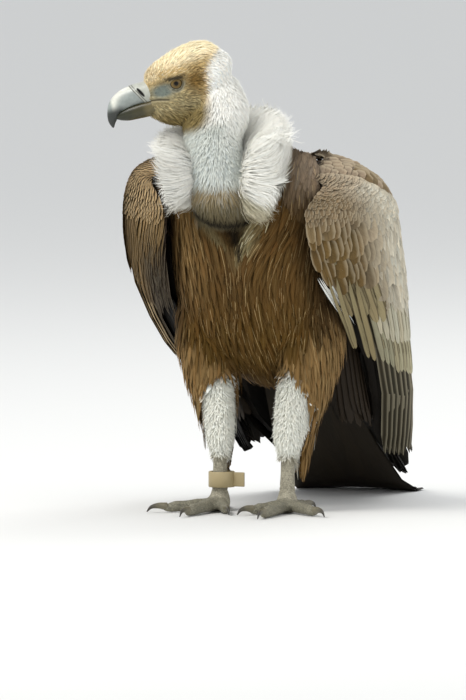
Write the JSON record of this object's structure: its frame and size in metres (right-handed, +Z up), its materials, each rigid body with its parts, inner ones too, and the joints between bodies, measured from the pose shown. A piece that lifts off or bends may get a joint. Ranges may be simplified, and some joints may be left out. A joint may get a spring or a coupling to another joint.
{
  "type": "griffon vulture",
  "caption": "Standing griffon vulture with folded wings, white neck ruff, hooked bill, feathered thighs, scaly feet and a plain ring on its right leg, head turned to its right.",
  "frame": {"origin": "centre of the bounding box at the floor that the feet and the tail's tip rest on", "axes": "+Z up, -Y the way the breast faces, +X the bird's left side; the head is turned 70 degrees from -Y towards -X"},
  "size_m": [0.3578, 0.5843, 0.595],
  "materials": {
    "head_down": "matte",
    "white_down": "matte",
    "breast_feather": "matte",
    "covert_feather": "matte",
    "flight_feather": "satin",
    "trouser_feather": "matte",
    "bill_horn": "satin",
    "cere_skin": "satin",
    "eye": "wet gloss",
    "foot_skin": "matte scales",
    "claw_horn": "satin",
    "ring_plastic": "matte"
  },
  "bodies": {
    "root": {"head": "head_down", "cere": "cere_skin", "bill_upper": "bill_horn", "bill_lower": "bill_horn", "neck": "white_down", "crop": "white_down", "trunk": "breast_feather", "ruff": "white_down", "tail": "flight_feather", "eye_left": "eye", "thigh_left": "trouser_feather", "leg_left": "white_down", "tarsus_left": "foot_skin", "foot_left": "foot_skin", "toe_middle_left": "foot_skin", "claw_middle_left": "claw_horn", "toe_inner_left": "foot_skin", "claw_inner_left": "claw_horn", "toe_outer_left": "foot_skin", "claw_outer_left": "claw_horn", "toe_hind_left": "foot_skin", "claw_hind_left": "claw_horn", "wing_left": "covert_feather", "secondaries_left": "flight_feather", "primaries_left": "flight_feather", "eye_right": "eye", "thigh_right": "trouser_feather", "leg_right": "white_down", "tarsus_right": "foot_skin", "foot_right": "foot_skin", "toe_middle_right": "foot_skin", "claw_middle_right": "claw_horn", "toe_inner_right": "foot_skin", "claw_inner_right": "claw_horn", "toe_outer_right": "foot_skin", "claw_outer_right": "claw_horn", "toe_hind_right": "foot_skin", "claw_hind_right": "claw_horn", "wing_right": "covert_feather", "secondaries_right": "flight_feather", "primaries_right": "flight_feather", "leg_ring": "ring_plastic", "leg_ring_tab": "ring_plastic"}
  },
  "joints": []
}
